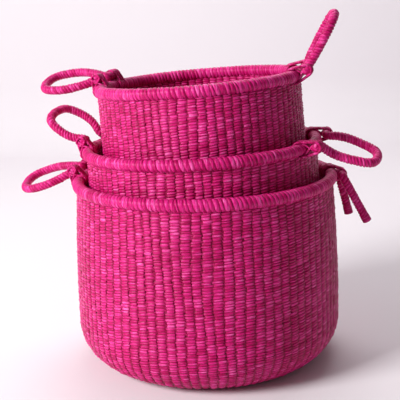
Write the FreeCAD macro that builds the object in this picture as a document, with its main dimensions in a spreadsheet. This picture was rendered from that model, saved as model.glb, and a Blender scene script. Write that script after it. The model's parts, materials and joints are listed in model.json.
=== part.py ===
import FreeCAD, Part
import math
import os

import Sketcher
from FreeCAD import Placement, Rotation, Vector

# A nested set of three round twined laundry baskets, each with a wrapped rim and two cord handles.
# Origin: centre of the large basket's underside, on the floor. +Z up, +X to the right-hand handles.

doc = FreeCAD.newDocument("basket_set")

# ---------------------------------------------------------------- driving dimensions (mm, degrees)
SHARED = {
    "clearance": 0.3,  # between neighbouring pieces
    "weft_thickness": 4.2,  # one pass of the twined strands, outside or inside the stakes
    "stake_thickness": 3.4,
    "centre_radius": 58,  # tight round start of the base
    "stake_end_gap": 2,  # from a stake's ends to the rim and to the start of the base
    "rim_wrap_thickness": 3,
    "cord_radius": 7.4,
    "cord_wrap_thickness": 2,
    "lashing_thickness": 2.5,
    "lashing_width": 15,
    "whipping_thickness": 1.2,
    "whipping_length": 16,
}

BASKETS = {
    "large": {
        "base_radius": 172,
        "belly_radius": 252,
        "neck_radius": 242,
        "rim_height": 345,
        "rim_radius": 238,
        "rim_tube": 12,
        "stake_count": 90,
    },
    "middle": {
        "base_radius": 140,
        "belly_radius": 219,
        "neck_radius": 216,
        "rim_height": 391.5,
        "rim_radius": 213.5,
        "rim_tube": 11.5,
        "stake_count": 84,
    },
    "small": {
        "base_radius": 116,
        "belly_radius": 192.5,
        "neck_radius": 188.5,
        "rim_height": 493,
        "rim_radius": 182,
        "rim_tube": 12,
        "stake_count": 78,
    },
}

# How each inner basket stands in the one around it: it leans, so that its right side is up,
# and the left edge of its base rests on the floor under it.
NESTING = {
    "middle": {"lean": 1.6, "shift": 8},
    "small": {"lean": 1.5, "shift": 14.5},
}

# azimuth: middle of the handle about the basket's axis; seat: place of its feet around the rim tube,
# from outside (0) to on top (90); root: half the distance between its legs at the rim;
# bulge: half its greatest width; lift: angle of the loop above level; twist: turn about its reach.
HANDLES = {
    "large_left": {
        "basket": "large", "azimuth": 168, "seat": 66, "gap": 0.8, "root": 15, "bulge": 38,
        "reach": 118, "lift": -16, "twist": -17,
    },
    "middle_left": {
        "basket": "middle", "azimuth": 165, "seat": 78, "gap": 0.8, "root": 36, "bulge": 38,
        "reach": 90, "lift": 33, "twist": -18,
    },
    "middle_right": {
        "basket": "middle", "azimuth": -15, "seat": 10, "gap": 0.8, "root": 54, "bulge": 44,
        "reach": 103, "lift": -20, "twist": 10,
    },
    "small_left": {
        "basket": "small", "azimuth": 164, "seat": 84, "gap": 0.8, "root": 15, "bulge": 37,
        "reach": 122, "lift": -2, "twist": -20,
    },
    "small_right": {
        "basket": "small", "azimuth": -6, "seat": 26, "gap": 0.8, "root": 26, "bulge": 34,
        "reach": 107, "lift": 59, "twist": 4,
    },
}
HANDLE_SHARED = {"bend": 13, "foot": 22}

# The large basket's right handle is a doubled cord hitched to the rim, with two hanging tails.
TIE = {
    "azimuth": 0, "seat": -6, "gap": 0.8, "bridge": 13, "bend": 12,
    "front_tail": 103, "front_angle": 28, "back_tail": 90, "back_angle": 14,
}

# ---------------------------------------------------------------- spreadsheet
sheet = doc.addObject("Spreadsheet::Sheet", "Dimensions")
NAMES = []


def put(alias, value):
    """Writes one named number into the sheet."""
    NAMES.append(alias)
    row = len(NAMES)
    sheet.set(f"A{row}", alias)
    sheet.set(f"B{row}", str(value))
    sheet.setAlias(f"B{row}", alias)


def put_all(prefix, values):
    for name, value in values.items():
        if name != "basket":
            put(prefix + name, value)


put_all("", SHARED)
for basket, sizes in BASKETS.items():
    put_all(basket + "_", sizes)
for basket, sizes in NESTING.items():
    put_all(basket + "_", sizes)
for handle, sizes in HANDLES.items():
    put_all(handle + "_", sizes)
put_all("handle_", HANDLE_SHARED)
put_all("tie_", TIE)
doc.recompute()


def dim(alias):
    """The value of a named number in the sheet."""
    return float(sheet.get(alias))


def bind(thing, path, formula):
    """Ties a property to a formula in which a leading $ marks a name in the sheet."""
    thing.setExpression(path, formula.replace("$", "Dimensions."))


# ---------------------------------------------------------------- shared helpers
def new_body(label):
    body = doc.addObject("PartDesign::Body", label)
    body.Label = label
    return body


def plane_of(body, role):
    return next(f for f in body.Origin.OriginFeatures if f.Role == role)


def new_sketch(body, name, role="XZ_Plane"):
    sketch = body.newObject("Sketcher::SketchObject", name)
    sketch.AttachmentSupport = [(plane_of(body, role), "")]
    sketch.MapMode = "FlatFace"
    return sketch


def constrain(sketch, name, formula, *args):
    """Adds a dimension whose value is a formula of the sheet's names."""
    index = sketch.addConstraint(Sketcher.Constraint(*args))
    sketch.renameConstraint(index, name)
    bind(sketch, f"Constraints.{name}", formula)


def move(thing, place):
    thing.Placement = place


def turn(x, y, z, angle):
    return Placement(Vector(0, 0, 0), Rotation(Vector(x, y, z), angle))


def shift(x, y, z):
    return Placement(Vector(x, y, z), Rotation())


START, END, CENTRE = 1, 2, 3
ORIGIN, X_AXIS = (-1, 1), -1


# ---------------------------------------------------------------- where each basket stands
def wall_layers():
    """Depths from the outer face: the inner weft's outer side, and the whole wall."""
    inner = dim("weft_thickness") + dim("stake_thickness") + 2 * dim("clearance")
    return inner, inner + dim("weft_thickness")


WALL = wall_layers()[1]


def stand_in(basket):
    """Placement of an inner basket in the frame of the basket around it."""
    lean = dim(basket + "_lean")
    rise = dim(basket + "_base_radius") * math.sin(math.radians(lean))
    height = WALL + dim("clearance") + rise
    return shift(dim(basket + "_shift"), 0, height) * turn(0, 1, 0, -lean)


PLACES = {"large": Placement()}
PLACES["middle"] = stand_in("middle")
PLACES["small"] = PLACES["middle"] * stand_in("small")


# ---------------------------------------------------------------- walls
def wall_top(basket):
    """Formula of the height where the wall ends, just under the rim."""
    return f"(${basket}_rim_height - ${basket}_rim_tube - $clearance)"


def corner(basket):
    return f"(${basket}_belly_radius - ${basket}_base_radius)"


def wall_arc_radius(basket):
    """Formula of the radius of the wall's slight curve, from the belly in to the neck."""
    rise = f"({wall_top(basket)} - {corner(basket)})"
    inset = f"(${basket}_belly_radius - ${basket}_neck_radius)"
    return f"(({rise} * {rise} + {inset} * {inset}) / (2 * {inset}))"


def value_of(formula):
    """Works a formula out from the sheet's numbers, for a sketch's first guess."""
    for alias in sorted(NAMES, key=len, reverse=True):
        formula = formula.replace("$" + alias, repr(dim(alias)))
    total = FreeCAD.Units.Quantity(formula)
    return total.Value


def skin(basket, label, depth, thickness):
    """One layer of the wall and base: a revolved shell at a depth under the outer face."""
    base = dim(basket + "_base_radius")
    bend = value_of(corner(basket))
    top = value_of(wall_top(basket))
    big = value_of(wall_arc_radius(basket))
    inside = dim("centre_radius") + dim("clearance")
    body = new_body(label)
    sketch = new_sketch(body, label + "_profile")

    corner_centre = Vector(base, bend, 0)
    wall_centre = Vector(base + bend - big, bend, 0)
    axis = Vector(0, 0, 1)

    def arcs(inset):
        low = Part.ArcOfCircle(Part.Circle(corner_centre, axis, bend - inset), -math.pi / 2, 0)
        swing = math.asin((top - bend) / (big - inset))
        high = Part.ArcOfCircle(Part.Circle(wall_centre, axis, big - inset), 0, swing)
        return low, high

    deep = depth + thickness
    outer_low, outer_high = arcs(depth)
    inner_low, inner_high = arcs(deep)
    outer_top, inner_top = outer_high.EndPoint, inner_high.EndPoint
    sketch.addGeometry([
        Part.LineSegment(Vector(inside, depth, 0), Vector(base, depth, 0)),
        outer_low,
        outer_high,
        Part.LineSegment(outer_top, inner_top),
        inner_high,
        inner_low,
        Part.LineSegment(Vector(base, deep, 0), Vector(inside, deep, 0)),
        Part.LineSegment(Vector(inside, deep, 0), Vector(inside, depth, 0)),
    ])
    joins = [
        (0, END, 1, START), (1, END, 2, START), (2, END, 3, START), (3, END, 4, END),
        (4, START, 5, END), (5, START, 6, START), (6, END, 7, START), (7, END, 0, START),
        (1, CENTRE, 5, CENTRE), (2, CENTRE, 4, CENTRE),
    ]
    for join in joins:
        sketch.addConstraint(Sketcher.Constraint("Coincident", *join))
    for line in (0, 3, 6):
        sketch.addConstraint(Sketcher.Constraint("Horizontal", line))
    sketch.addConstraint(Sketcher.Constraint("Vertical", 7))
    for arc in (1, 5):
        sketch.addConstraint(Sketcher.Constraint("Vertical", arc, START, arc, CENTRE))
        sketch.addConstraint(Sketcher.Constraint("Horizontal", arc, END, arc, CENTRE))
    sketch.addConstraint(Sketcher.Constraint("Horizontal", 1, CENTRE, 2, CENTRE))
    if depth:
        formula = "$weft_thickness + $stake_thickness + 2 * $clearance"
        constrain(sketch, "depth", formula, "DistanceY", *ORIGIN, 0, START, depth)
    else:
        sketch.addConstraint(Sketcher.Constraint("PointOnObject", 0, START, X_AXIS))
    constrain(sketch, "inside", "$centre_radius + $clearance",
              "DistanceX", *ORIGIN, 0, START, inside)
    constrain(sketch, "base", f"${basket}_base_radius", "DistanceX", *ORIGIN, 1, CENTRE, base)
    constrain(sketch, "corner", corner(basket), "DistanceY", *ORIGIN, 1, CENTRE, bend)
    constrain(sketch, "wall_centre", f"{wall_arc_radius(basket)} - ${basket}_belly_radius",
              "DistanceX", 2, CENTRE, *ORIGIN, big - base - bend)
    constrain(sketch, "thickness", "$weft_thickness", "DistanceY", 0, START, 6, END, thickness)
    constrain(sketch, "top", wall_top(basket), "DistanceY", *ORIGIN, 2, END, top)

    shell = body.newObject("PartDesign::Revolution", label + "_turned")
    shell.Profile = sketch
    shell.ReferenceAxis = (sketch, ["V_Axis"])
    shell.Angle = 360
    move(body, PLACES[basket])
    return body


def centre_disc(basket):
    """The tight round start of the base, through the wall's whole thickness."""
    disc = doc.addObject("Part::Cylinder", basket + "_base_centre")
    bind(disc, "Radius", "$centre_radius")
    bind(disc, "Height", "2 * $weft_thickness + $stake_thickness + 2 * $clearance")
    move(disc, PLACES[basket])
    return disc


def stakes(basket):
    """The square-split stakes inside the wall. Each runs out under the base, round the corner and up."""
    depth = dim("weft_thickness") + dim("clearance") + dim("stake_thickness") / 2
    base = dim(basket + "_base_radius")
    bend = value_of(corner(basket))
    big = value_of(wall_arc_radius(basket)) - depth
    top = value_of(wall_top(basket)) - dim("stake_end_gap")
    inside = dim("centre_radius") + dim("clearance") + dim("stake_end_gap")
    wall_centre = base + bend - depth - big

    def on_wall(angle):
        return Vector(wall_centre + big * math.cos(angle), 0, bend + big * math.sin(angle))

    swing = math.asin((top - bend) / big)
    low = Vector(base, 0, depth)
    slant = (bend - depth) * math.sqrt(0.5)
    middle = Vector(base + slant, 0, bend - slant)
    path = Part.Wire([
        Part.makeLine(Vector(inside, 0, depth), low),
        Part.Arc(low, middle, on_wall(0)).toShape(),
        Part.Arc(on_wall(0), on_wall(swing / 2), on_wall(swing)).toShape(),
    ])
    half = dim("stake_thickness") / 2
    corners = [(-half, -half), (half, -half), (half, half), (-half, half), (-half, -half)]
    section = Part.makePolygon([Vector(inside, across, depth + up) for across, up in corners])
    rod = path.makePipeShell([section], True, False)
    count = int(dim(basket + "_stake_count"))
    group = doc.addObject("Part::Feature", basket + "_stakes")
    rods = []
    for number in range(count):
        copy = rod.copy()
        copy.rotate(Vector(0, 0, 0), Vector(0, 0, 1), 360 * number / count)
        rods.append(copy)
    group.Shape = Part.makeCompound(rods)
    move(group, PLACES[basket])
    return group


# ---------------------------------------------------------------- rims
def rim_place(basket):
    return PLACES[basket] * shift(0, 0, dim(basket + "_rim_height"))


def rim(basket):
    """The rim: a round core of bundled stake ends, and the strand wound over it."""
    core = doc.addObject("Part::Torus", basket + "_rim_core")
    bind(core, "Radius1", f"${basket}_rim_radius")
    bind(core, "Radius2", f"${basket}_rim_tube - $rim_wrap_thickness - $clearance")
    move(core, rim_place(basket))

    label = basket + "_rim_wrap"
    wrap = new_body(label)
    sketch = new_sketch(wrap, label + "_profile")
    centre = Vector(dim(basket + "_rim_radius"), 0, 0)
    outer = dim(basket + "_rim_tube")
    inner = outer - dim("rim_wrap_thickness")
    for radius in (outer, inner):
        sketch.addGeometry(Part.Circle(centre, Vector(0, 0, 1), radius))
    sketch.addConstraint(Sketcher.Constraint("Coincident", 0, CENTRE, 1, CENTRE))
    sketch.addConstraint(Sketcher.Constraint("PointOnObject", 0, CENTRE, X_AXIS))
    constrain(sketch, "ring", f"${basket}_rim_radius", "DistanceX", *ORIGIN, 0, CENTRE, centre.x)
    constrain(sketch, "outer", f"${basket}_rim_tube", "Radius", 0, outer)
    constrain(sketch, "inner", f"${basket}_rim_tube - $rim_wrap_thickness", "Radius", 1, inner)
    turned = wrap.newObject("PartDesign::Revolution", label + "_turned")
    turned.Profile = sketch
    turned.ReferenceAxis = (sketch, ["V_Axis"])
    turned.Angle = 360
    move(wrap, rim_place(basket))
    return [core, wrap]


# ---------------------------------------------------------------- handles
def seat_point(prefix, basket, root):
    """The hinge line's distance from the basket's axis and height over the rim's centre."""
    ring = dim(basket + "_rim_radius")
    away = dim(basket + "_rim_tube") + dim("cord_radius") + dim(prefix + "_gap")
    angle = math.radians(dim(prefix + "_seat"))
    return math.sqrt(ring**2 - root**2) + away * math.cos(angle), away * math.sin(angle)


def seat_place(prefix, basket):
    """Frame on the basket's axis at rim height, turned so that +X points to the handle."""
    return rim_place(basket) * turn(0, 0, 1, dim(prefix + "_azimuth"))


def rounded(points, radii):
    """A wire of straight runs through the points, with each inner corner rounded by an arc."""
    edges = []
    last = points[0]
    for before, at, after, radius in zip(points, points[1:], points[2:], radii):
        back, ahead = (before - at).normalize(), (after - at).normalize()
        half = back.getAngle(ahead) / 2
        run = radius / math.tan(half)
        start, end = at + back * run, at + ahead * run
        inward = (back + ahead).normalize()
        middle = at + inward * (radius / math.sin(half) - radius)
        edges.append(Part.makeLine(last, start))
        edges.append(Part.Arc(start, middle, end).toShape())
        last = end
    edges.append(Part.makeLine(last, points[-1]))
    return Part.Wire(edges)


def loop_path(prefix):
    """The cord's centreline: a foot along the hinge line (Y), a loop out along +X, a foot."""
    root, bulge = dim(prefix + "_root"), dim(prefix + "_bulge")
    reach, bend = dim(prefix + "_reach"), dim("handle_bend")
    slope = math.tan(math.radians(dim(prefix + "_twist")))
    end = root + bend + dim("handle_foot")
    shoulder, tip = 0.55 * reach, 0.62 * bulge
    side = [
        Vector(0, end, 0),
        Vector(0, root, 0),
        Vector(shoulder, bulge, slope * bulge),
        Vector(reach, tip, slope * tip),
    ]
    near = [Vector(point.x, -point.y, -point.z) for point in side]
    radii = [bend, bulge, 0.8 * bulge]
    return rounded(near + side[::-1], radii + radii[::-1])


def tail_end(side, length, angle):
    """The end of a hanging tail, at an angle out from straight down."""
    down = math.radians(90 - angle)
    ahead = Vector(math.cos(down), 0, -math.sin(down))
    knee = Vector(0, side * (dim("tie_bridge") + dim("tie_bend")), 0)
    return knee, ahead, knee + ahead * length


def tie_path():
    """The hitched cord's centreline: a short bridge along the hinge line and two hanging tails."""
    front_knee, _, front_end = tail_end(-1, dim("tie_front_tail"), dim("tie_front_angle"))
    back_knee, _, back_end = tail_end(1, dim("tie_back_tail"), dim("tie_back_angle"))
    bend = dim("tie_bend")
    return rounded([front_end, front_knee, back_knee, back_end], [bend, bend])


def swept(label, path, outer, inner=0):
    """A round cord, or a sleeve round one, along a path in space."""
    edge = path.Edges[0]
    start = edge.valueAt(edge.FirstParameter)
    at = edge.FirstParameter
    section = Part.Face(Part.Wire(Part.makeCircle(outer, start, edge.tangentAt(at))))
    if inner:
        hole = Part.Face(Part.Wire(Part.makeCircle(inner, start, edge.tangentAt(at))))
        section = section.cut(hole).Faces[0]
    thing = doc.addObject("Part::Feature", label)
    thing.Shape = path.makePipe(section)
    return thing


def cord(prefix, path, place):
    """The handle's cord: a straw core and the strand wound round it, as a sleeve."""
    radius = dim("cord_radius")
    hollow = radius - dim("cord_wrap_thickness")
    core = swept(prefix + "_handle_core", path, hollow - dim("clearance"))
    wrap = swept(prefix + "_handle_wrap", path, radius, hollow)
    move(core, place)
    move(wrap, place)
    return [core, wrap]


def lashings(prefix, basket, root, spots):
    """Bands of strand round the rim and a foot, cut clear of both. Spots are along the hinge."""
    out, up = seat_point(prefix, basket, root)
    ring, tube = dim(basket + "_rim_radius"), dim(basket + "_rim_tube")
    wall = dim("lashing_thickness") + dim("clearance")
    bands = []
    for number, spot in enumerate(spots):
        rim_out = math.sqrt(ring**2 - spot**2)
        reach = math.hypot(out - rim_out, up)
        tilt = math.degrees(math.atan2(out - rim_out, up))
        outline = doc.addObject("Sketcher::SketchObject", f"{prefix}_lashing_{number}_outline")
        big, little = tube + wall, dim("cord_radius") + wall
        lean = math.asin((big - little) / reach)
        axis = Vector(0, 0, 1)
        low = Part.Circle(Vector(0, 0, 0), axis, big)
        high = Part.Circle(Vector(0, reach, 0), axis, little)
        low_arc = Part.ArcOfCircle(low, math.pi - lean, 2 * math.pi + lean)
        high_arc = Part.ArcOfCircle(high, lean, math.pi - lean)
        outline.addGeometry([
            low_arc,
            Part.LineSegment(low_arc.EndPoint, high_arc.StartPoint),
            high_arc,
            Part.LineSegment(high_arc.EndPoint, low_arc.StartPoint),
        ])
        for join in ((0, END, 1, START), (1, END, 2, START), (2, END, 3, START), (3, END, 0, START)):
            outline.addConstraint(Sketcher.Constraint("Tangent", *join))
        outline.addConstraint(Sketcher.Constraint("Coincident", 0, CENTRE, *ORIGIN))
        outline.addConstraint(Sketcher.Constraint("PointOnObject", 2, CENTRE, -2))
        outline.addConstraint(Sketcher.Constraint("DistanceY", *ORIGIN, 2, CENTRE, reach))
        grown = "$lashing_thickness + $clearance"
        constrain(outline, "rim_side", f"${basket}_rim_tube + {grown}", "Radius", 0, big)
        constrain(outline, "cord_side", f"$cord_radius + {grown}", "Radius", 2, little)
        band = doc.addObject("Part::Extrusion", f"{prefix}_lashing_{number}")
        band.Base = outline
        band.DirMode = "Normal"
        band.Symmetric = True
        band.Solid = True
        bind(band, "LengthFwd", "$lashing_width")
        # Half-way between the rim's direction here and the straight foot's.
        yaw = math.degrees(math.asin(spot / ring)) / 2
        band.Placement = (shift(rim_out, spot, 0) * turn(0, 0, 1, yaw)
                          * turn(0, 1, 0, tilt) * turn(1, 0, 0, 90))
        bands.append(band)
    group = doc.addObject("Part::Compound", prefix + "_lashing_bands")
    group.Links = bands

    rim_space = doc.addObject("Part::Torus", prefix + "_rim_space")
    bind(rim_space, "Radius1", f"${basket}_rim_radius")
    bind(rim_space, "Radius2", f"${basket}_rim_tube + $clearance")
    off_rim = doc.addObject("Part::Cut", prefix + "_lashing_off_rim")
    off_rim.Base = group
    off_rim.Tool = rim_space

    foot_space = doc.addObject("Part::Cylinder", prefix + "_foot_space")
    bind(foot_space, "Radius", "$cord_radius + $clearance")
    length = 2 * ring
    foot_space.Height = length
    foot_space.Placement = shift(out, length / 2, up) * turn(1, 0, 0, 90)
    off_foot = doc.addObject("Part::Cut", prefix + "_lashing_off_foot")
    off_foot.Base = off_rim
    off_foot.Tool = foot_space

    # The strands go through the weave under the rim, so the band stops at the wall.
    wall_outside = doc.addObject("Part::Cylinder", prefix + "_wall_outside")
    bind(wall_outside, "Radius", f"${basket}_neck_radius + 2 * $clearance")
    wall_inside = doc.addObject("Part::Cylinder", prefix + "_wall_inside")
    bind(wall_inside, "Radius", f"${basket}_neck_radius - 2 * $weft_thickness"
                                " - $stake_thickness - 4 * $clearance")
    for cylinder in (wall_outside, wall_inside):
        bind(cylinder, "Height", f"${basket}_rim_tube")
        cylinder.Placement = shift(0, 0, -2 * tube)
    wall_space = doc.addObject("Part::Cut", prefix + "_wall_space")
    wall_space.Base = wall_outside
    wall_space.Tool = wall_inside
    bound = doc.addObject("Part::Cut", prefix + "_lashing")
    bound.Base = off_foot
    bound.Tool = wall_space
    return bound, out, up


def loop_handle(prefix, basket):
    root = dim(prefix + "_root")
    foot_middle = root + dim("handle_bend") + dim("handle_foot") / 2
    bound, out, up = lashings(prefix, basket, root, (-foot_middle, foot_middle))
    seat = seat_place(prefix, basket)
    place = seat * shift(out, 0, up) * turn(0, 1, 0, -dim(prefix + "_lift"))
    parts = cord(prefix, loop_path(prefix), place)
    # The clearance cut moves the lashing with its two tools, so it is placed as a whole.
    move(bound, seat)
    return parts + [bound]


def tie_handle():
    prefix, basket = "tie", "large"
    bound, out, up = lashings(prefix, basket, 0, (0,))
    seat = seat_place(prefix, basket)
    place = seat * shift(out, 0, up)
    parts = cord(prefix, tie_path(), place)
    move(bound, seat)
    # A turned whipping over each blunt end of the cord.
    rings = []
    for name, side in (("front", -1), ("back", 1)):
        _, ahead, end = tail_end(side, dim(f"tie_{name}_tail"), dim(f"tie_{name}_angle"))
        start = end - ahead * dim("whipping_length")
        outside = doc.addObject("Part::Cylinder", f"tie_{name}_whipping_outside")
        bind(outside, "Radius", "$cord_radius + $clearance + $whipping_thickness")
        bind(outside, "Height", "$whipping_length")
        hole = doc.addObject("Part::Cylinder", f"tie_{name}_whipping_hole")
        bind(hole, "Radius", "$cord_radius + $clearance")
        bind(hole, "Height", "$whipping_length")
        for piece in (outside, hole):
            piece.Placement = Placement(start, Rotation(Vector(0, 0, 1), ahead))
        ring = doc.addObject("Part::Cut", f"tie_{name}_whipping")
        ring.Base = outside
        ring.Tool = hole
        rings.append(ring)
    whippings = doc.addObject("Part::Compound", "tie_whippings")
    whippings.Links = rings
    move(whippings, place)
    return parts + [bound, whippings]


# ---------------------------------------------------------------- build and export
pieces = []
inner_depth = wall_layers()[0]
for basket in BASKETS:
    pieces.append(skin(basket, basket + "_weft_outer", 0, dim("weft_thickness")))
    pieces.append(skin(basket, basket + "_weft_inner", inner_depth, dim("weft_thickness")))
    pieces.append(centre_disc(basket))
    pieces.append(stakes(basket))
    pieces.extend(rim(basket))
for handle, sizes in HANDLES.items():
    pieces.extend(loop_handle(handle, sizes["basket"]))
pieces.extend(tie_handle())
doc.recompute()

os.makedirs("parts", exist_ok=True)
for thing in doc.Objects:
    if "Invalid" in thing.State or "Error" in thing.State:
        raise RuntimeError(f"{thing.Label} did not build: {thing.State}")
for piece in pieces:
    if piece.Shape.isNull() or not piece.Shape.isValid() or not piece.Shape.Solids:
        raise RuntimeError(f"{piece.Label} has no sound shape")
    piece.Shape.exportStep(f"parts/{piece.Label}.step")
    print(piece.Label, len(piece.Shape.Solids))
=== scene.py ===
"""Looks of a nested set of three twined straw laundry baskets with wrapped rims and cord handles."""

import json
import math

import bpy
import numpy as np
from mathutils import Matrix, Vector


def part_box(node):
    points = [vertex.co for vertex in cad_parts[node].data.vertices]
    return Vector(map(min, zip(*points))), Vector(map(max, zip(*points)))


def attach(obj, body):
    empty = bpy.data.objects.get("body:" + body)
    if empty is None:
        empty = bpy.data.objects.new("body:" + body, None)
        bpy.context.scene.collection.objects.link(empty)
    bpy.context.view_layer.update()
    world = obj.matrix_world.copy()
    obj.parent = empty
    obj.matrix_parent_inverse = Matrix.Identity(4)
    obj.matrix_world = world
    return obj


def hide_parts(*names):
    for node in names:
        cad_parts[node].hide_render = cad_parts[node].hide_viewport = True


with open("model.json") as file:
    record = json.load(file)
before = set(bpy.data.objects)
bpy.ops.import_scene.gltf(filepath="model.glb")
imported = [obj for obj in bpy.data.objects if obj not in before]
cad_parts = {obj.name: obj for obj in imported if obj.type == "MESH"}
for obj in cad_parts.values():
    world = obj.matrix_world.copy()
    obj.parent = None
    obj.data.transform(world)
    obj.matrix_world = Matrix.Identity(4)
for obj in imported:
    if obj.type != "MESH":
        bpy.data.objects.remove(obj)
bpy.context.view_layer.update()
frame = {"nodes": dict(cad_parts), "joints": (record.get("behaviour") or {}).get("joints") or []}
JOINTS = {joint["name"]: joint for joint in frame["joints"]}

# ---------------------------------------------------------------- camera
LENS = 75.9
PITCH = math.radians(12.93)
ROLL = math.radians(2.09)
camera_data = bpy.data.cameras.new("camera")
camera_data.sensor_width = 36
camera_data.lens = LENS
camera = bpy.data.objects.new("camera", camera_data)
bpy.context.scene.collection.objects.link(camera)
level = Vector((1, 0, 0))
ahead = Vector((0, math.cos(PITCH), -math.sin(PITCH)))
upright = Vector((0, math.sin(PITCH), math.cos(PITCH)))
up = upright * math.cos(ROLL) + level * math.sin(ROLL)
right = level * math.cos(ROLL) - upright * math.sin(ROLL)
camera.matrix_world = Matrix.Translation((-0.0099, -1.5714, 0.661)) @ Matrix(
    (right, up, -ahead)).transposed().to_4x4()
bpy.context.scene.camera = camera

# ---------------------------------------------------------------- sizes, in metres
BASKETS = {
    "large": {"base": 0.172, "belly": 0.252, "neck": 0.242, "rim_height": 0.345,
              "rim": 0.238, "tube": 0.012, "ribs": 90, "stitch": 0.0052},
    "middle": {"base": 0.140, "belly": 0.219, "neck": 0.216, "rim_height": 0.3915,
               "rim": 0.2135, "tube": 0.0115, "ribs": 84, "stitch": 0.0050},
    "small": {"base": 0.116, "belly": 0.1925, "neck": 0.1885, "rim_height": 0.493,
              "rim": 0.182, "tube": 0.012, "ribs": 78, "stitch": 0.0048},
}
WALL = 0.0124  # through both skins of weave and the stakes between them
CENTRE = 0.058  # radius of the tight round start of the base
CORD = 0.0074
LOOPS = {
    "large_left": {"root": 0.015, "bulge": 0.038, "reach": 0.118, "lift": -16, "twist": -17},
    "middle_left": {"root": 0.036, "bulge": 0.038, "reach": 0.090, "lift": 33, "twist": -18},
    "middle_right": {"root": 0.054, "bulge": 0.044, "reach": 0.103, "lift": -20, "twist": 10},
    "small_left": {"root": 0.015, "bulge": 0.037, "reach": 0.122, "lift": -2, "twist": -20},
    "small_right": {"root": 0.026, "bulge": 0.034, "reach": 0.107, "lift": 59, "twist": 4},
}
BEND, FOOT = 0.013, 0.022
TIE_KNEE = 0.025
TIE_TAILS = {-1: (0.103, 28), 1: (0.090, 14)}  # side: length, degrees out from straight down
WHIPPING = 0.016


# ---------------------------------------------------------------- places
def axis_of(basket):
    if basket == "large":
        return Vector((0, 0, 1))
    return Vector(JOINTS[basket + "_lift"]["axis"]).normalized()


def basket_place(basket):
    """Frame under the middle of a basket's base, Z along its axis."""
    low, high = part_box(basket + "_rim_wrap")
    z = axis_of(basket)
    x = Vector((0, 1, 0)).cross(z).normalized()
    y = z.cross(x)
    origin = (low + high) / 2 - z * BASKETS[basket]["rim_height"]
    return Matrix.Translation(origin) @ Matrix((x, y, z)).transposed().to_4x4()


PLACES = {basket: basket_place(basket) for basket in BASKETS}


def seat_place(prefix, lift=0):
    """Frame at the middle of a handle's hinge line: Y along it, X out from the basket."""
    joint = JOINTS[prefix + "_swing"]
    y = -Vector(joint["axis"]).normalized()
    upward = axis_of(prefix.split("_")[0])
    outward = y.cross(upward).normalized()
    x = outward * math.cos(math.radians(lift)) + upward * math.sin(math.radians(lift))
    z = x.cross(y)
    return (Matrix.Translation(Vector(joint["pos_m"]))
            @ Matrix((x, y, z)).transposed().to_4x4())


def moved(place, points):
    """An array of points taken from a frame to the world."""
    matrix = np.array(place)
    return points @ matrix[:3, :3].T + matrix[:3, 3]


# ---------------------------------------------------------------- meshes
def quads(rows, columns, close_rows, helix):
    """Corner numbers of the quads over a grid. The last column joins the first, helix rows on."""
    last = rows if close_rows else rows - 1 - (helix or 0)
    row = np.arange(last)[:, None]
    column = np.arange(columns - (helix is None))[None, :]

    def corner(down, across):
        turn = (column + across) // columns
        return (row + down + turn * (helix or 0)) % rows * columns + (column + across) % columns

    return np.stack([corner(0, 0), corner(0, 1), corner(1, 1), corner(1, 0)], -1).reshape(-1, 4)


def mesh_piece(name, patches, material, body, nodes):
    """One mesh from patches of points, with a tint, a height in the relief (which sets painted shade in
    the grooves) and strand coordinates.
    """
    places, faces, tints, heights, strands = [], [], [], [], []
    start = 0
    for patch in patches:
        rows, columns = patch["points"].shape[:2]
        corners = quads(rows, columns, patch.get("close_rows", False), patch.get("helix"))
        if patch.get("flip"):
            corners = corners[:, ::-1]
        places.append(patch["points"].reshape(-1, 3))
        faces.append(corners + start)
        tints.append(np.broadcast_to(patch["tint"], (rows, columns)).ravel())
        heights.append(np.broadcast_to(patch["height"], (rows, columns)).ravel())
        strands.append(patch["strand"].reshape(-1, 3))
        start += rows * columns
    places, faces = np.concatenate(places), np.concatenate(faces)
    mesh = bpy.data.meshes.new(name)
    mesh.vertices.add(len(places))
    mesh.vertices.foreach_set("co", places.astype(np.float32).ravel())
    mesh.loops.add(faces.size)
    mesh.loops.foreach_set("vertex_index", faces.astype(np.int32).ravel())
    mesh.polygons.add(len(faces))
    mesh.polygons.foreach_set("loop_start", np.arange(0, faces.size, 4, dtype=np.int32))
    mesh.polygons.foreach_set("use_smooth", np.ones(len(faces), bool))
    for label, values in (("tint", tints), ("height", heights)):
        channel = mesh.attributes.new(label, "FLOAT", "POINT")
        channel.data.foreach_set("value", np.concatenate(values).astype(np.float32))
    channel = mesh.attributes.new("strand", "FLOAT_VECTOR", "POINT")
    channel.data.foreach_set("vector", np.concatenate(strands).astype(np.float32).ravel())
    mesh.update(calc_edges=True)
    mesh.validate()
    mesh.materials.append(material)
    piece = bpy.data.objects.new(name, mesh)
    bpy.context.scene.collection.objects.link(piece)
    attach(piece, body)
    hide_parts(*nodes)
    return piece


def bulge(share, power=2.5):
    """Height of a rounded strand's surface, 0 at its two edges and 1 in its middle."""
    return 1 - np.abs(2 * share - 1) ** power


# ---------------------------------------------------------------- weave
STITCH_SHARES = np.array([0, 0.17, 0.5, 0.83])  # mesh rows across a stitch, from its edge
RIB_SHARES = np.array([0, 0.07, 0.18, 0.34, 0.5, 0.66, 0.82, 0.93])  # mesh columns across a rib
ROWS, COLUMNS = len(STITCH_SHARES), len(RIB_SHARES)


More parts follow.
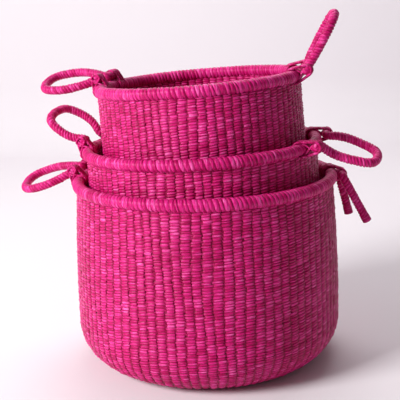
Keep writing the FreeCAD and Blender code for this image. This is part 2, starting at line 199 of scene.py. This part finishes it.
class Profile:
    """Half the section of one skin: level out to the base's edge, round the corner, up the wall."""

    def __init__(self, sizes, depth, top, start):
        self.base, self.depth, self.start = sizes["base"], depth, start
        self.corner = sizes["belly"] - sizes["base"]
        rise = sizes["rim_height"] - sizes["tube"] - self.corner
        inward = sizes["belly"] - sizes["neck"]
        self.arc = (rise**2 + inward**2) / (2 * inward)
        self.level = self.base - start
        self.bend = (self.corner - depth) * math.pi / 2
        self.wall = (self.arc - depth) * math.asin((top - self.corner) / self.arc)
        self.length = self.level + self.bend + self.wall

    def at(self, along):
        """Radius, height and outward direction at each length along the section."""
        turn = np.clip(along - self.level, 0, self.bend) / (self.corner - self.depth)
        swing = np.clip(along - self.level - self.bend, 0, None) / (self.arc - self.depth)
        on_wall = along > self.level + self.bend
        radius = self.start + np.minimum(along, self.level)
        radius = radius + (self.corner - self.depth) * np.sin(turn)
        height = self.depth + (self.corner - self.depth) * (1 - np.cos(turn))
        radius = np.where(on_wall, radius - (self.arc - self.depth) * (1 - np.cos(swing)), radius)
        height = np.where(on_wall, height + (self.arc - self.depth) * np.sin(swing), height)
        out = np.where(on_wall, np.cos(swing), np.sin(turn))
        rise = np.where(on_wall, np.sin(swing), -np.cos(turn))
        return radius, height, out, rise


def rib_shape(across):
    """Height across a rib: a shallow crown with a narrow groove at each side."""
    return 0.55 * bulge(across, 2) + 0.45 * bulge(across, 7)


def woven(profile, ribs, stitch, place, inside, random, relief=0.0024):
    """A skin of twined weave: a grid whose rows follow the stitches and columns the ribs."""
    count = int(profile.length / stitch) + 2
    edges = (np.arange(count + 1)[None, :] - 1 + random.random((ribs, 1))
             + random.normal(0, 0.11, (ribs, count + 1))) * stitch
    share = STITCH_SHARES
    rows = (edges[:, :-1, None] * (1 - share) + edges[:, 1:, None] * share).reshape(ribs, -1)
    rib_tint = random.normal(0, 0.08, (ribs, 1))
    stitch_tint = random.random((ribs, count)) + rib_tint
    stitch_rise = random.normal(0, 0.0004, (ribs, count))
    thin = random.random((ribs, count)) < 0.06
    stitch_rise[thin] -= 0.0012
    tints = np.repeat(stitch_tint, ROWS, 1)
    rises = np.repeat(stitch_rise, ROWS, 1)

    across = RIB_SHARES
    slant = 0.3 * stitch
    along = rows[:, :, None] + slant * (across - 0.5)
    tint = np.repeat(tints[:, :, None], COLUMNS, 2)
    rise = np.repeat(rises[:, :, None], COLUMNS, 2)
    before = np.roll(np.arange(ribs), 1)
    along[:, :, 0] = (rows + rows[before]) / 2
    tint[:, :, 0] = (tints + tints[before]) / 2
    rise[:, :, 0] = (rises + rises[before]) / 2
    along = np.clip(along, 0, profile.length)

    column = np.arange(ribs)[:, None, None] + across
    turn = column * 2 * math.pi / ribs
    sway = sum(size * np.sin(many * turn + along * wave + phase)
               for size, many, wave, phase in zip(
                   (0.11, 0.08, 0.05), (3, 7, 13), (9, 17, 34), random.random(3) * 6.28))
    zigzag = np.repeat(random.normal(0, 0.09, (ribs, count)), ROWS, 1)[:, :, None]
    turn = (column + sway + zigzag * (1 - rib_shape(across))) * 2 * math.pi / ribs

    radius, level_height, out, lift = profile.at(along)
    pitch = 2 * math.pi * radius / ribs
    deep = np.minimum(relief, 0.2 * pitch)
    rib = rib_shape(across)[None, None, :]
    bar = bulge(np.tile(share, count), 1.8)[None, :, None]
    # The height in the relief is low in the rib grooves and the gaps between stitches; it only sets the
    # painted shade there in the material.
    height = np.broadcast_to(0.3 * rib + 0.7 * bar * (0.4 + 0.6 * rib), along.shape)
    sunk = deep * (1 - rib) + np.minimum(0.0017, 0.1 * pitch) * (1 - bar) * np.sqrt(rib)
    push = (rise * rib * bar * np.minimum(1, pitch / 0.01) - sunk) * (-1 if inside else 1)
    radius, level_height = radius + push * out, level_height + push * lift
    points = np.stack([radius * np.cos(turn), radius * np.sin(turn), level_height], -1)
    strand = np.stack([
        np.broadcast_to(turn * radius, along.shape),
        along,
        np.broadcast_to(stitch_tint.repeat(ROWS, 1)[:, :, None] * 7, along.shape),
    ], -1)

    def grid(values):
        values = np.moveaxis(values, 0, 1)
        return values.reshape(values.shape[0], -1, *values.shape[3:])

    points = moved(place, grid(points))
    return {"points": points, "tint": grid(tint), "height": grid(height),
            "strand": grid(strand), "flip": inside}


def sector(patch, first, last):
    """The columns from first to last of a patch that runs all the way round."""
    columns = np.arange(first, last + 1) % patch["points"].shape[1]
    return {key: value if key == "flip" else value[:, columns] for key, value in patch.items()}


def build_weave(basket, seed):
    sizes, place = BASKETS[basket], PLACES[basket]
    random = np.random.default_rng(seed)
    rim_centre = sizes["rim_height"]
    skins = {
        "weft_outer": (0, rim_centre - sizes["tube"] * 0.8, False),
        "weft_inner": (WALL, rim_centre - sizes["tube"] * 0.5, True),
    }
    for skin, (depth, top, inside) in skins.items():
        profile = Profile(sizes, depth, top, CENTRE)
        patch = woven(profile, sizes["ribs"], sizes["stitch"], place, inside, random)
        third = sizes["ribs"] // 3 * COLUMNS
        for number in range(3):
            mesh_piece(f"{basket}_{skin}_{number}", [sector(patch, number * third, (number + 1) * third)],
                       WEAVE, basket + "_basket", [f"{basket}_{skin}"])
    faces = []
    for depth, inside in ((0, False), (WALL, True)):
        disc = Profile({**sizes, "base": CENTRE + 0.001}, depth, sizes["rim_height"], 0.002)
        disc.length = disc.level
        patch = woven(disc, 30, 0.0052, place, inside, random)
        faces.append(sector(patch, 0, 30 * COLUMNS))
    mesh_piece(basket + "_centre", faces, WEAVE, basket + "_basket",
               [basket + "_base_centre"])


# ---------------------------------------------------------------- wound cords
class Line:
    """A line through points, with a frame carried along it, read by length."""

    def __init__(self, points, side, closed=False):
        points = np.asarray(points, float)
        if closed:
            points = np.vstack([points, points[:1]])
        steps = np.diff(points, axis=0)
        lengths = np.linalg.norm(steps, axis=1)
        self.points, self.closed = points, closed
        self.lengths = np.concatenate([[0], np.cumsum(lengths)])
        self.length = self.lengths[-1]
        tangents = np.gradient(points, self.lengths, axis=0)
        tangents /= np.linalg.norm(tangents, axis=1)[:, None]
        sides = []
        for tangent in tangents:
            side = side - tangent * np.dot(side, tangent)
            side = side / np.linalg.norm(side)
            sides.append(side)
        self.sides = np.array(sides)
        if closed:
            self.sides[:] = self.sides.mean(0)
            self.sides -= tangents * (self.sides * tangents).sum(1)[:, None]
            self.sides /= np.linalg.norm(self.sides, axis=1)[:, None]
        self.ups = np.cross(tangents, self.sides)

    def at(self, along):
        along = along % self.length if self.closed else np.clip(along, 0, self.length)
        return [np.stack([np.interp(along, self.lengths, values[:, k]) for k in range(3)], -1)
                for values in (self.points, self.sides, self.ups)]


def route(points):
    """The smooth line of a cord through its control points."""
    curve = bpy.data.curves.new("route", "CURVE")
    curve.dimensions = "3D"
    curve.resolution_u = 32
    spline = curve.splines.new("NURBS")
    spline.points.add(len(points) - 1)
    for control, point in zip(spline.points, points):
        control.co = (*point, 1)
    spline.order_u = 3
    spline.use_endpoint_u = True
    holder = bpy.data.objects.new("route", curve)
    mesh = bpy.data.meshes.new_from_object(holder)
    line = np.array([vertex.co for vertex in mesh.vertices])
    bpy.data.objects.remove(holder)
    bpy.data.meshes.remove(mesh)
    return line


def wound(line, radius, pitch, random, relief, columns=20, rows=5, rounding=0.003, uneven=0.12,
          starts=1):
    """A tube of strands wound in a helix along a line, so many side by side, each a ridge."""
    turns = max(3, round(line.length / pitch))
    step = line.length / turns
    if not line.closed:
        turns += 2 * starts
    marks = np.arange(turns) + random.normal(0, uneven, turns)
    marks = np.concatenate([marks, marks[:starts + 1] + turns]) - (0 if line.closed else starts)
    share = np.arange(rows) / rows
    edges = (marks[:-1, None] * (1 - share) + marks[1:, None] * share).ravel()
    ahead_edges = edges[starts * rows:][:turns * rows]
    edges = edges[:turns * rows]
    around = np.arange(columns) / columns
    along = (edges[:, None] * (1 - around) + ahead_edges[:, None] * around) * step
    rise = np.repeat(random.normal(0, 0.16 * relief, turns), rows)[:, None]
    bar = np.tile(bulge(share, 2.2), turns)[:, None]
    reach = radius - relief * (1 - bar) + rise * bar
    if not line.closed:
        inset = np.minimum(np.clip(along, 0, None), np.clip(line.length - along, 0, None))
        reach = reach * np.sqrt(1 - (1 - np.clip(inset / rounding, 0, 1)) ** 2)
    centre, side, up_way = line.at(along)
    turn = around * 2 * math.pi
    points = centre + reach[..., None] * (side * np.cos(turn)[None, :, None]
                                          + up_way * np.sin(turn)[None, :, None])
    tint = np.repeat(random.random(turns), rows)[:, None] + np.zeros(columns)
    strand = np.stack([np.broadcast_to(turn * radius, along.shape), along, tint * 9], -1)
    # The height is low in the gaps between wound turns; it only sets the painted shade there in the
    # material.
    return {"points": points, "tint": tint, "height": 0.35 + 0.65 * bar + 0 * around,
            "strand": strand, "close_rows": line.closed, "helix": starts * rows}


def build_rim(basket, seed):
    sizes, place = BASKETS[basket], PLACES[basket]
    turn = -np.linspace(0, 2 * math.pi, 720, endpoint=False)
    ring = np.stack([np.cos(turn), np.sin(turn), 0 * turn], -1) * sizes["rim"]
    ring[:, 2] = sizes["rim_height"]
    line = Line(moved(place, ring), np.array(axis_of(basket)), closed=True)
    patch = wound(line, sizes["tube"] - 0.0008, 0.0078, np.random.default_rng(seed), 0.0013,
                  columns=28, rows=6, uneven=0.16, starts=2)
    mesh_piece(basket + "_rim", [patch], STRAND, basket + "_basket",
               [basket + "_rim_wrap"])


def loop_points(loop):
    """Control points of a handle: a foot along the hinge line, a loop out along X, a foot."""
    slope = math.tan(math.radians(loop["twist"]))
    root, wide, reach = loop["root"], loop["bulge"], loop["reach"]
    side = [
        (0, root + BEND + FOOT, 0),
        (0, root + 0.006, 0),
        (0.004, root + 0.001, 0),
        (0.3 * reach, 0.5 * (root + wide) + 0.002, slope * 0.5 * (root + wide)),
        (0.62 * reach, 1.14 * wide, slope * wide),
        (1.01 * reach, 0.76 * wide, slope * 0.7 * wide),
    ]
    return [(x, -y, -z) for x, y, z in side] + side[::-1]


def build_loop(prefix, seed):
    loop = LOOPS[prefix]
    random = np.random.default_rng(seed)
    place = seat_place(prefix, loop["lift"])
    line = Line(moved(place, route(loop_points(loop))), np.array(place.col[2])[:3])
    patch = wound(line, CORD + 0.001, 0.006, random, 0.0014, starts=3)
    mesh_piece(prefix + "_cord", [patch], STRAND, prefix + "_handle",
               [prefix + "_handle_wrap", prefix + "_handle_core"])
    spot = loop["root"] + BEND + FOOT / 2
    bands = lashing(prefix, loop, (-spot, spot), random)
    basket = prefix.split("_")[0]
    mesh_piece(prefix + "_binding", bands, STRAND, basket + "_basket",
               [prefix + "_lashing"])


def lashing(prefix, loop, spots, random):
    """Turns of strand round the rim and the cord's foot, a few at each spot on the hinge line."""
    basket = prefix.split("_")[0]
    sizes = BASKETS[basket]
    seat = seat_place(prefix)
    middle = PLACES[basket] @ Vector((0, 0, sizes["rim_height"]))
    to_axis = seat.inverted() @ middle
    patches = []
    for spot in spots:
        rim = np.array([to_axis.x + math.sqrt(sizes["rim"] ** 2 - spot**2), to_axis.z])
        toward = -rim / np.linalg.norm(rim)
        yaw = math.asin(spot / sizes["rim"]) / 2
        lean = math.asin((sizes["tube"] - CORD) / np.linalg.norm(rim))
        heading = math.atan2(toward[1], toward[0])
        for number in range(6):
            shift = (number - 2.5) * 0.0038 + random.normal(0, 0.0003)
            grown = 0.0016 + random.random() * 0.0009
            half = math.pi / 2 - lean
            far = heading + np.linspace(-half, half, 14)
            near = heading + np.linspace(half, 2 * math.pi - half, 22)
            if number % 2:
                far = far[::-1]  # this turn crosses over between the cord and the rim
            outline = np.concatenate([
                np.stack([np.cos(far), np.sin(far)], -1) * (CORD + grown),
                rim + np.stack([np.cos(near), np.sin(near)], -1) * (sizes["tube"] + grown),
            ])
            across = spot + shift * math.cos(yaw) + 0 * outline[:, :1]
            ring = np.concatenate([
                outline[:, :1] - shift * math.sin(yaw), across, outline[:, 1:]], 1)
            line = Line(moved(seat, ring), np.array(seat.col[1])[:3], closed=True)
            patches.append(wound(line, 0.0023, 0.012, random, 0.0002, columns=8, rows=3))
    return patches


def build_tie(seed):
    random = np.random.default_rng(seed)
    place = seat_place("large_tie")
    ends = {}
    for side, (length, angle) in TIE_TAILS.items():
        tilt = math.radians(angle)
        ends[side] = (Vector((0, side * TIE_KNEE, 0)),
                      Vector((math.sin(tilt), 0, -math.cos(tilt))), length)
    points = []
    for side in (-1, 1):
        knee, ahead_way, length = ends[side]
        tail = [knee + ahead_way * length * share for share in (1, 0.6, 0.25)]
        tail.append(knee + ahead_way * 0.006)
        tail.append(knee - Vector((0, side * 0.006, 0)))
        points += tail if side < 0 else tail[::-1]
    line = Line(moved(place, route(points)), np.array(place.col[0])[:3])
    mesh_piece("tie_cord", [wound(line, CORD + 0.001, 0.006, random, 0.0014, starts=3)],
               STRAND, "large_tie", ["tie_handle_wrap", "tie_handle_core"])
    rings = []
    for side in (-1, 1):
        knee, ahead_way, length = ends[side]
        span = [knee + ahead_way * (length - WHIPPING * share) for share in (0.06, 0.4, 0.7, 1)]
        band = Line(moved(place, np.array(span)), np.array(place.col[1])[:3])
        rings.append(wound(band, CORD + 0.0014, 0.0026, random, 0.0007, rounding=0.0012))
    mesh_piece("tie_whipping", rings, STRAND, "large_tie", ["tie_whippings"])
    bands = lashing("large_tie", None, (0,), random)
    mesh_piece("tie_binding", bands, STRAND, "large_basket", ["tie_lashing"])


# ---------------------------------------------------------------- materials
def nodes_of(name):
    material = bpy.data.materials.new(name)
    material.use_nodes = True
    tree = material.node_tree
    return material, tree, tree.nodes["Principled BSDF"]


def add(tree, kind, **settings):
    """A node with some of its properties and sockets set."""
    node = tree.nodes.new(kind)
    for key, value in settings.items():
        if hasattr(node, key):
            setattr(node, key, value)
        else:
            node.inputs[key.replace("_", " ")].default_value = value
    return node


def colour(red, green, blue):
    """A colour written as 0 to 255, for a node."""
    def linear(value):
        value /= 255
        return value / 12.92 if value <= 0.04045 else ((value + 0.055) / 1.055) ** 2.4
    return (linear(red), linear(green), linear(blue), 1)


def ramp(tree, source, stops):
    node = tree.nodes.new("ShaderNodeValToRGB")
    elements = node.color_ramp.elements
    while len(elements) < len(stops):
        elements.new(0.5)
    for element, (place, value) in zip(elements, stops):
        element.position = place
        element.color = value
    tree.links.new(source, node.inputs["Fac"])
    return node.outputs["Color"]


def straw(name, along, across):
    """Dyed straw: fine streaks down each strand, a tint of its own for each, and painted shade darkening
    the grooves between them.
    """
    material, tree, shader = nodes_of(name)
    link = tree.links.new
    strand = add(tree, "ShaderNodeAttribute", attribute_name="strand")
    tint = add(tree, "ShaderNodeAttribute", attribute_name="tint")
    height = add(tree, "ShaderNodeAttribute", attribute_name="height")
    stretch = add(tree, "ShaderNodeVectorMath", operation="MULTIPLY")
    stretch.inputs[1].default_value = (along, across, 1)
    link(strand.outputs["Vector"], stretch.inputs[0])
    streaks = add(tree, "ShaderNodeTexNoise", Scale=1, Detail=4, Roughness=0.65)
    link(stretch.outputs["Vector"], streaks.inputs["Vector"])
    place = add(tree, "ShaderNodeTexCoord")
    patches = add(tree, "ShaderNodeTexNoise", Scale=9, Detail=3, Roughness=0.6)
    link(place.outputs["Object"], patches.inputs["Vector"])

    mix = add(tree, "ShaderNodeMath", operation="MULTIPLY_ADD")
    link(streaks.outputs["Fac"], mix.inputs[0])
    mix.inputs[1].default_value = 1.1
    faded = add(tree, "ShaderNodeMath", operation="MULTIPLY_ADD")
    link(tint.outputs["Fac"], faded.inputs[0])
    faded.inputs[1].default_value = 0.24
    faded.inputs[2].default_value = -0.22
    link(faded.outputs["Value"], mix.inputs[2])
    dye = ramp(tree, mix.outputs["Value"], [
        (0.10, colour(148, 2, 66)), (0.36, colour(196, 14, 102)),
        (0.55, colour(228, 46, 142)), (0.80, colour(255, 128, 200)),
    ])
    wide = add(tree, "ShaderNodeMix", data_type="RGBA", blend_type="MULTIPLY")
    wide.inputs["Factor"].default_value = 0.5
    link(dye, wide.inputs["A"])
    link(ramp(tree, patches.outputs["Fac"], [
        (0.3, colour(214, 190, 200)), (0.65, colour(255, 255, 255)),
    ]), wide.inputs["B"])
    # Painted shade: the colour is multiplied darker where the relief height is low, in the grooves
    # between ribs, stitches and wound turns.
    sunk = add(tree, "ShaderNodeMix", data_type="RGBA", blend_type="MULTIPLY")
    sunk.inputs["Factor"].default_value = 1
    link(wide.outputs["Result"], sunk.inputs["A"])
    link(ramp(tree, height.outputs["Fac"], [
        (0.0, colour(140, 66, 96)), (0.45, colour(206, 150, 176)), (0.8, colour(255, 255, 255)),
    ]), sunk.inputs["B"])
    link(sunk.outputs["Result"], shader.inputs["Base Color"])

    gloss = add(tree, "ShaderNodeMapRange")
    gloss.inputs["To Min"].default_value = 0.5
    gloss.inputs["To Max"].default_value = 0.3
    link(streaks.outputs["Fac"], gloss.inputs["Value"])
    link(gloss.outputs["Result"], shader.inputs["Roughness"])
    shader.inputs["Specular IOR Level"].default_value = 0.34
    shader.inputs["Specular Tint"].default_value = colour(255, 176, 226)
    bump = add(tree, "ShaderNodeBump", Strength=0.5, Distance=0.0008)
    link(streaks.outputs["Fac"], bump.inputs["Height"])
    link(bump.outputs["Normal"], shader.inputs["Normal"])
    return material


def hidden_straw(name, dark, light):
    """Plain straw stems, for the parts inside the weave and the cords."""
    material, tree, shader = nodes_of(name)
    place = add(tree, "ShaderNodeTexCoord")
    fibres = add(tree, "ShaderNodeTexNoise", Scale=260, Detail=5, Roughness=0.7)
    tree.links.new(place.outputs["Object"], fibres.inputs["Vector"])
    tone = ramp(tree, fibres.outputs["Fac"], [(0.3, dark), (0.7, light)])
    tree.links.new(tone, shader.inputs["Base Color"])
    shader.inputs["Roughness"].default_value = 0.7
    bump = add(tree, "ShaderNodeBump", Strength=0.4, Distance=0.0006)
    tree.links.new(fibres.outputs["Fac"], bump.inputs["Height"])
    tree.links.new(bump.outputs["Normal"], shader.inputs["Normal"])
    return material


WEAVE = straw("twined_straw", 60, 430)
STRAND = straw("wound_straw", 50, 420)
STAKE = hidden_straw("stake_straw", colour(120, 10, 58), colour(178, 30, 92))
CORE = hidden_straw("core_straw", colour(120, 84, 50), colour(196, 160, 106))

# ---------------------------------------------------------------- pieces
for seed, basket in enumerate(BASKETS):
    build_weave(basket, 11 + seed)
    build_rim(basket, 21 + seed)
for seed, handle in enumerate(LOOPS):
    build_loop(handle, 31 + seed)
build_tie(41)
for name, node in frame["nodes"].items():
    if name.endswith(("_stakes", "_core")):
        node.data.materials.clear()
        node.data.materials.append(STAKE if name.endswith("_stakes") else CORE)

# ---------------------------------------------------------------- floor, backdrop and light
FLOOR_NEAR, FLOOR_FAR, FLOOR_SIDE, WALL_TOP = -4, 2.6, 6, 5
curve = [(FLOOR_NEAR, 0.0), (FLOOR_FAR - 0.3, 0.0)]
curve += [(FLOOR_FAR - 0.3 + 0.3 * math.sin(t), 0.3 - 0.3 * math.cos(t))
          for t in (0.2, 0.5, 0.8, 1.1, 1.4)]
curve += [(FLOOR_FAR, 0.3), (FLOOR_FAR, WALL_TOP)]
backdrop_mesh = bpy.data.meshes.new("backdrop")
backdrop_mesh.from_pydata(
    [(side * FLOOR_SIDE, y, z) for y, z in curve for side in (-1, 1)], [],
    [(2 * n, 2 * n + 1, 2 * n + 3, 2 * n + 2) for n in range(len(curve) - 1)])
for face in backdrop_mesh.polygons:
    face.use_smooth = True
backdrop = bpy.data.objects.new("backdrop", backdrop_mesh)
bpy.context.scene.collection.objects.link(backdrop)
paper, paper_tree, paper_shader = nodes_of("backdrop_paper")
paper_shader.inputs["Base Color"].default_value = colour(236, 230, 234)
paper_shader.inputs["Roughness"].default_value = 0.9
backdrop_mesh.materials.append(paper)


def lamp(name, place, aim, size, power, tone=(1, 1, 1)):
    data = bpy.data.lights.new(name, "AREA")
    data.size = size
    data.energy = power
    data.color = tone
    light = bpy.data.objects.new(name, data)
    bpy.context.scene.collection.objects.link(light)
    light.location = place
    light.rotation_euler = (Vector(aim) - Vector(place)).to_track_quat("-Z", "Y").to_euler()


lamp("key", (-2.8, -1.7, 1.9), (0, 0, 0.3), 1.3, 175)
lamp("top", (0.3, 1.5, 3.0), (0, 1.2, 0.2), 2.2, 46)

world = bpy.data.worlds.new("studio")
bpy.context.scene.world = world
world.use_nodes = True
sky = world.node_tree.nodes["Background"]
sky.inputs["Color"].default_value = colour(255, 250, 253)
sky.inputs["Strength"].default_value = 0.17

bpy.context.scene.view_settings.view_transform = "Standard"
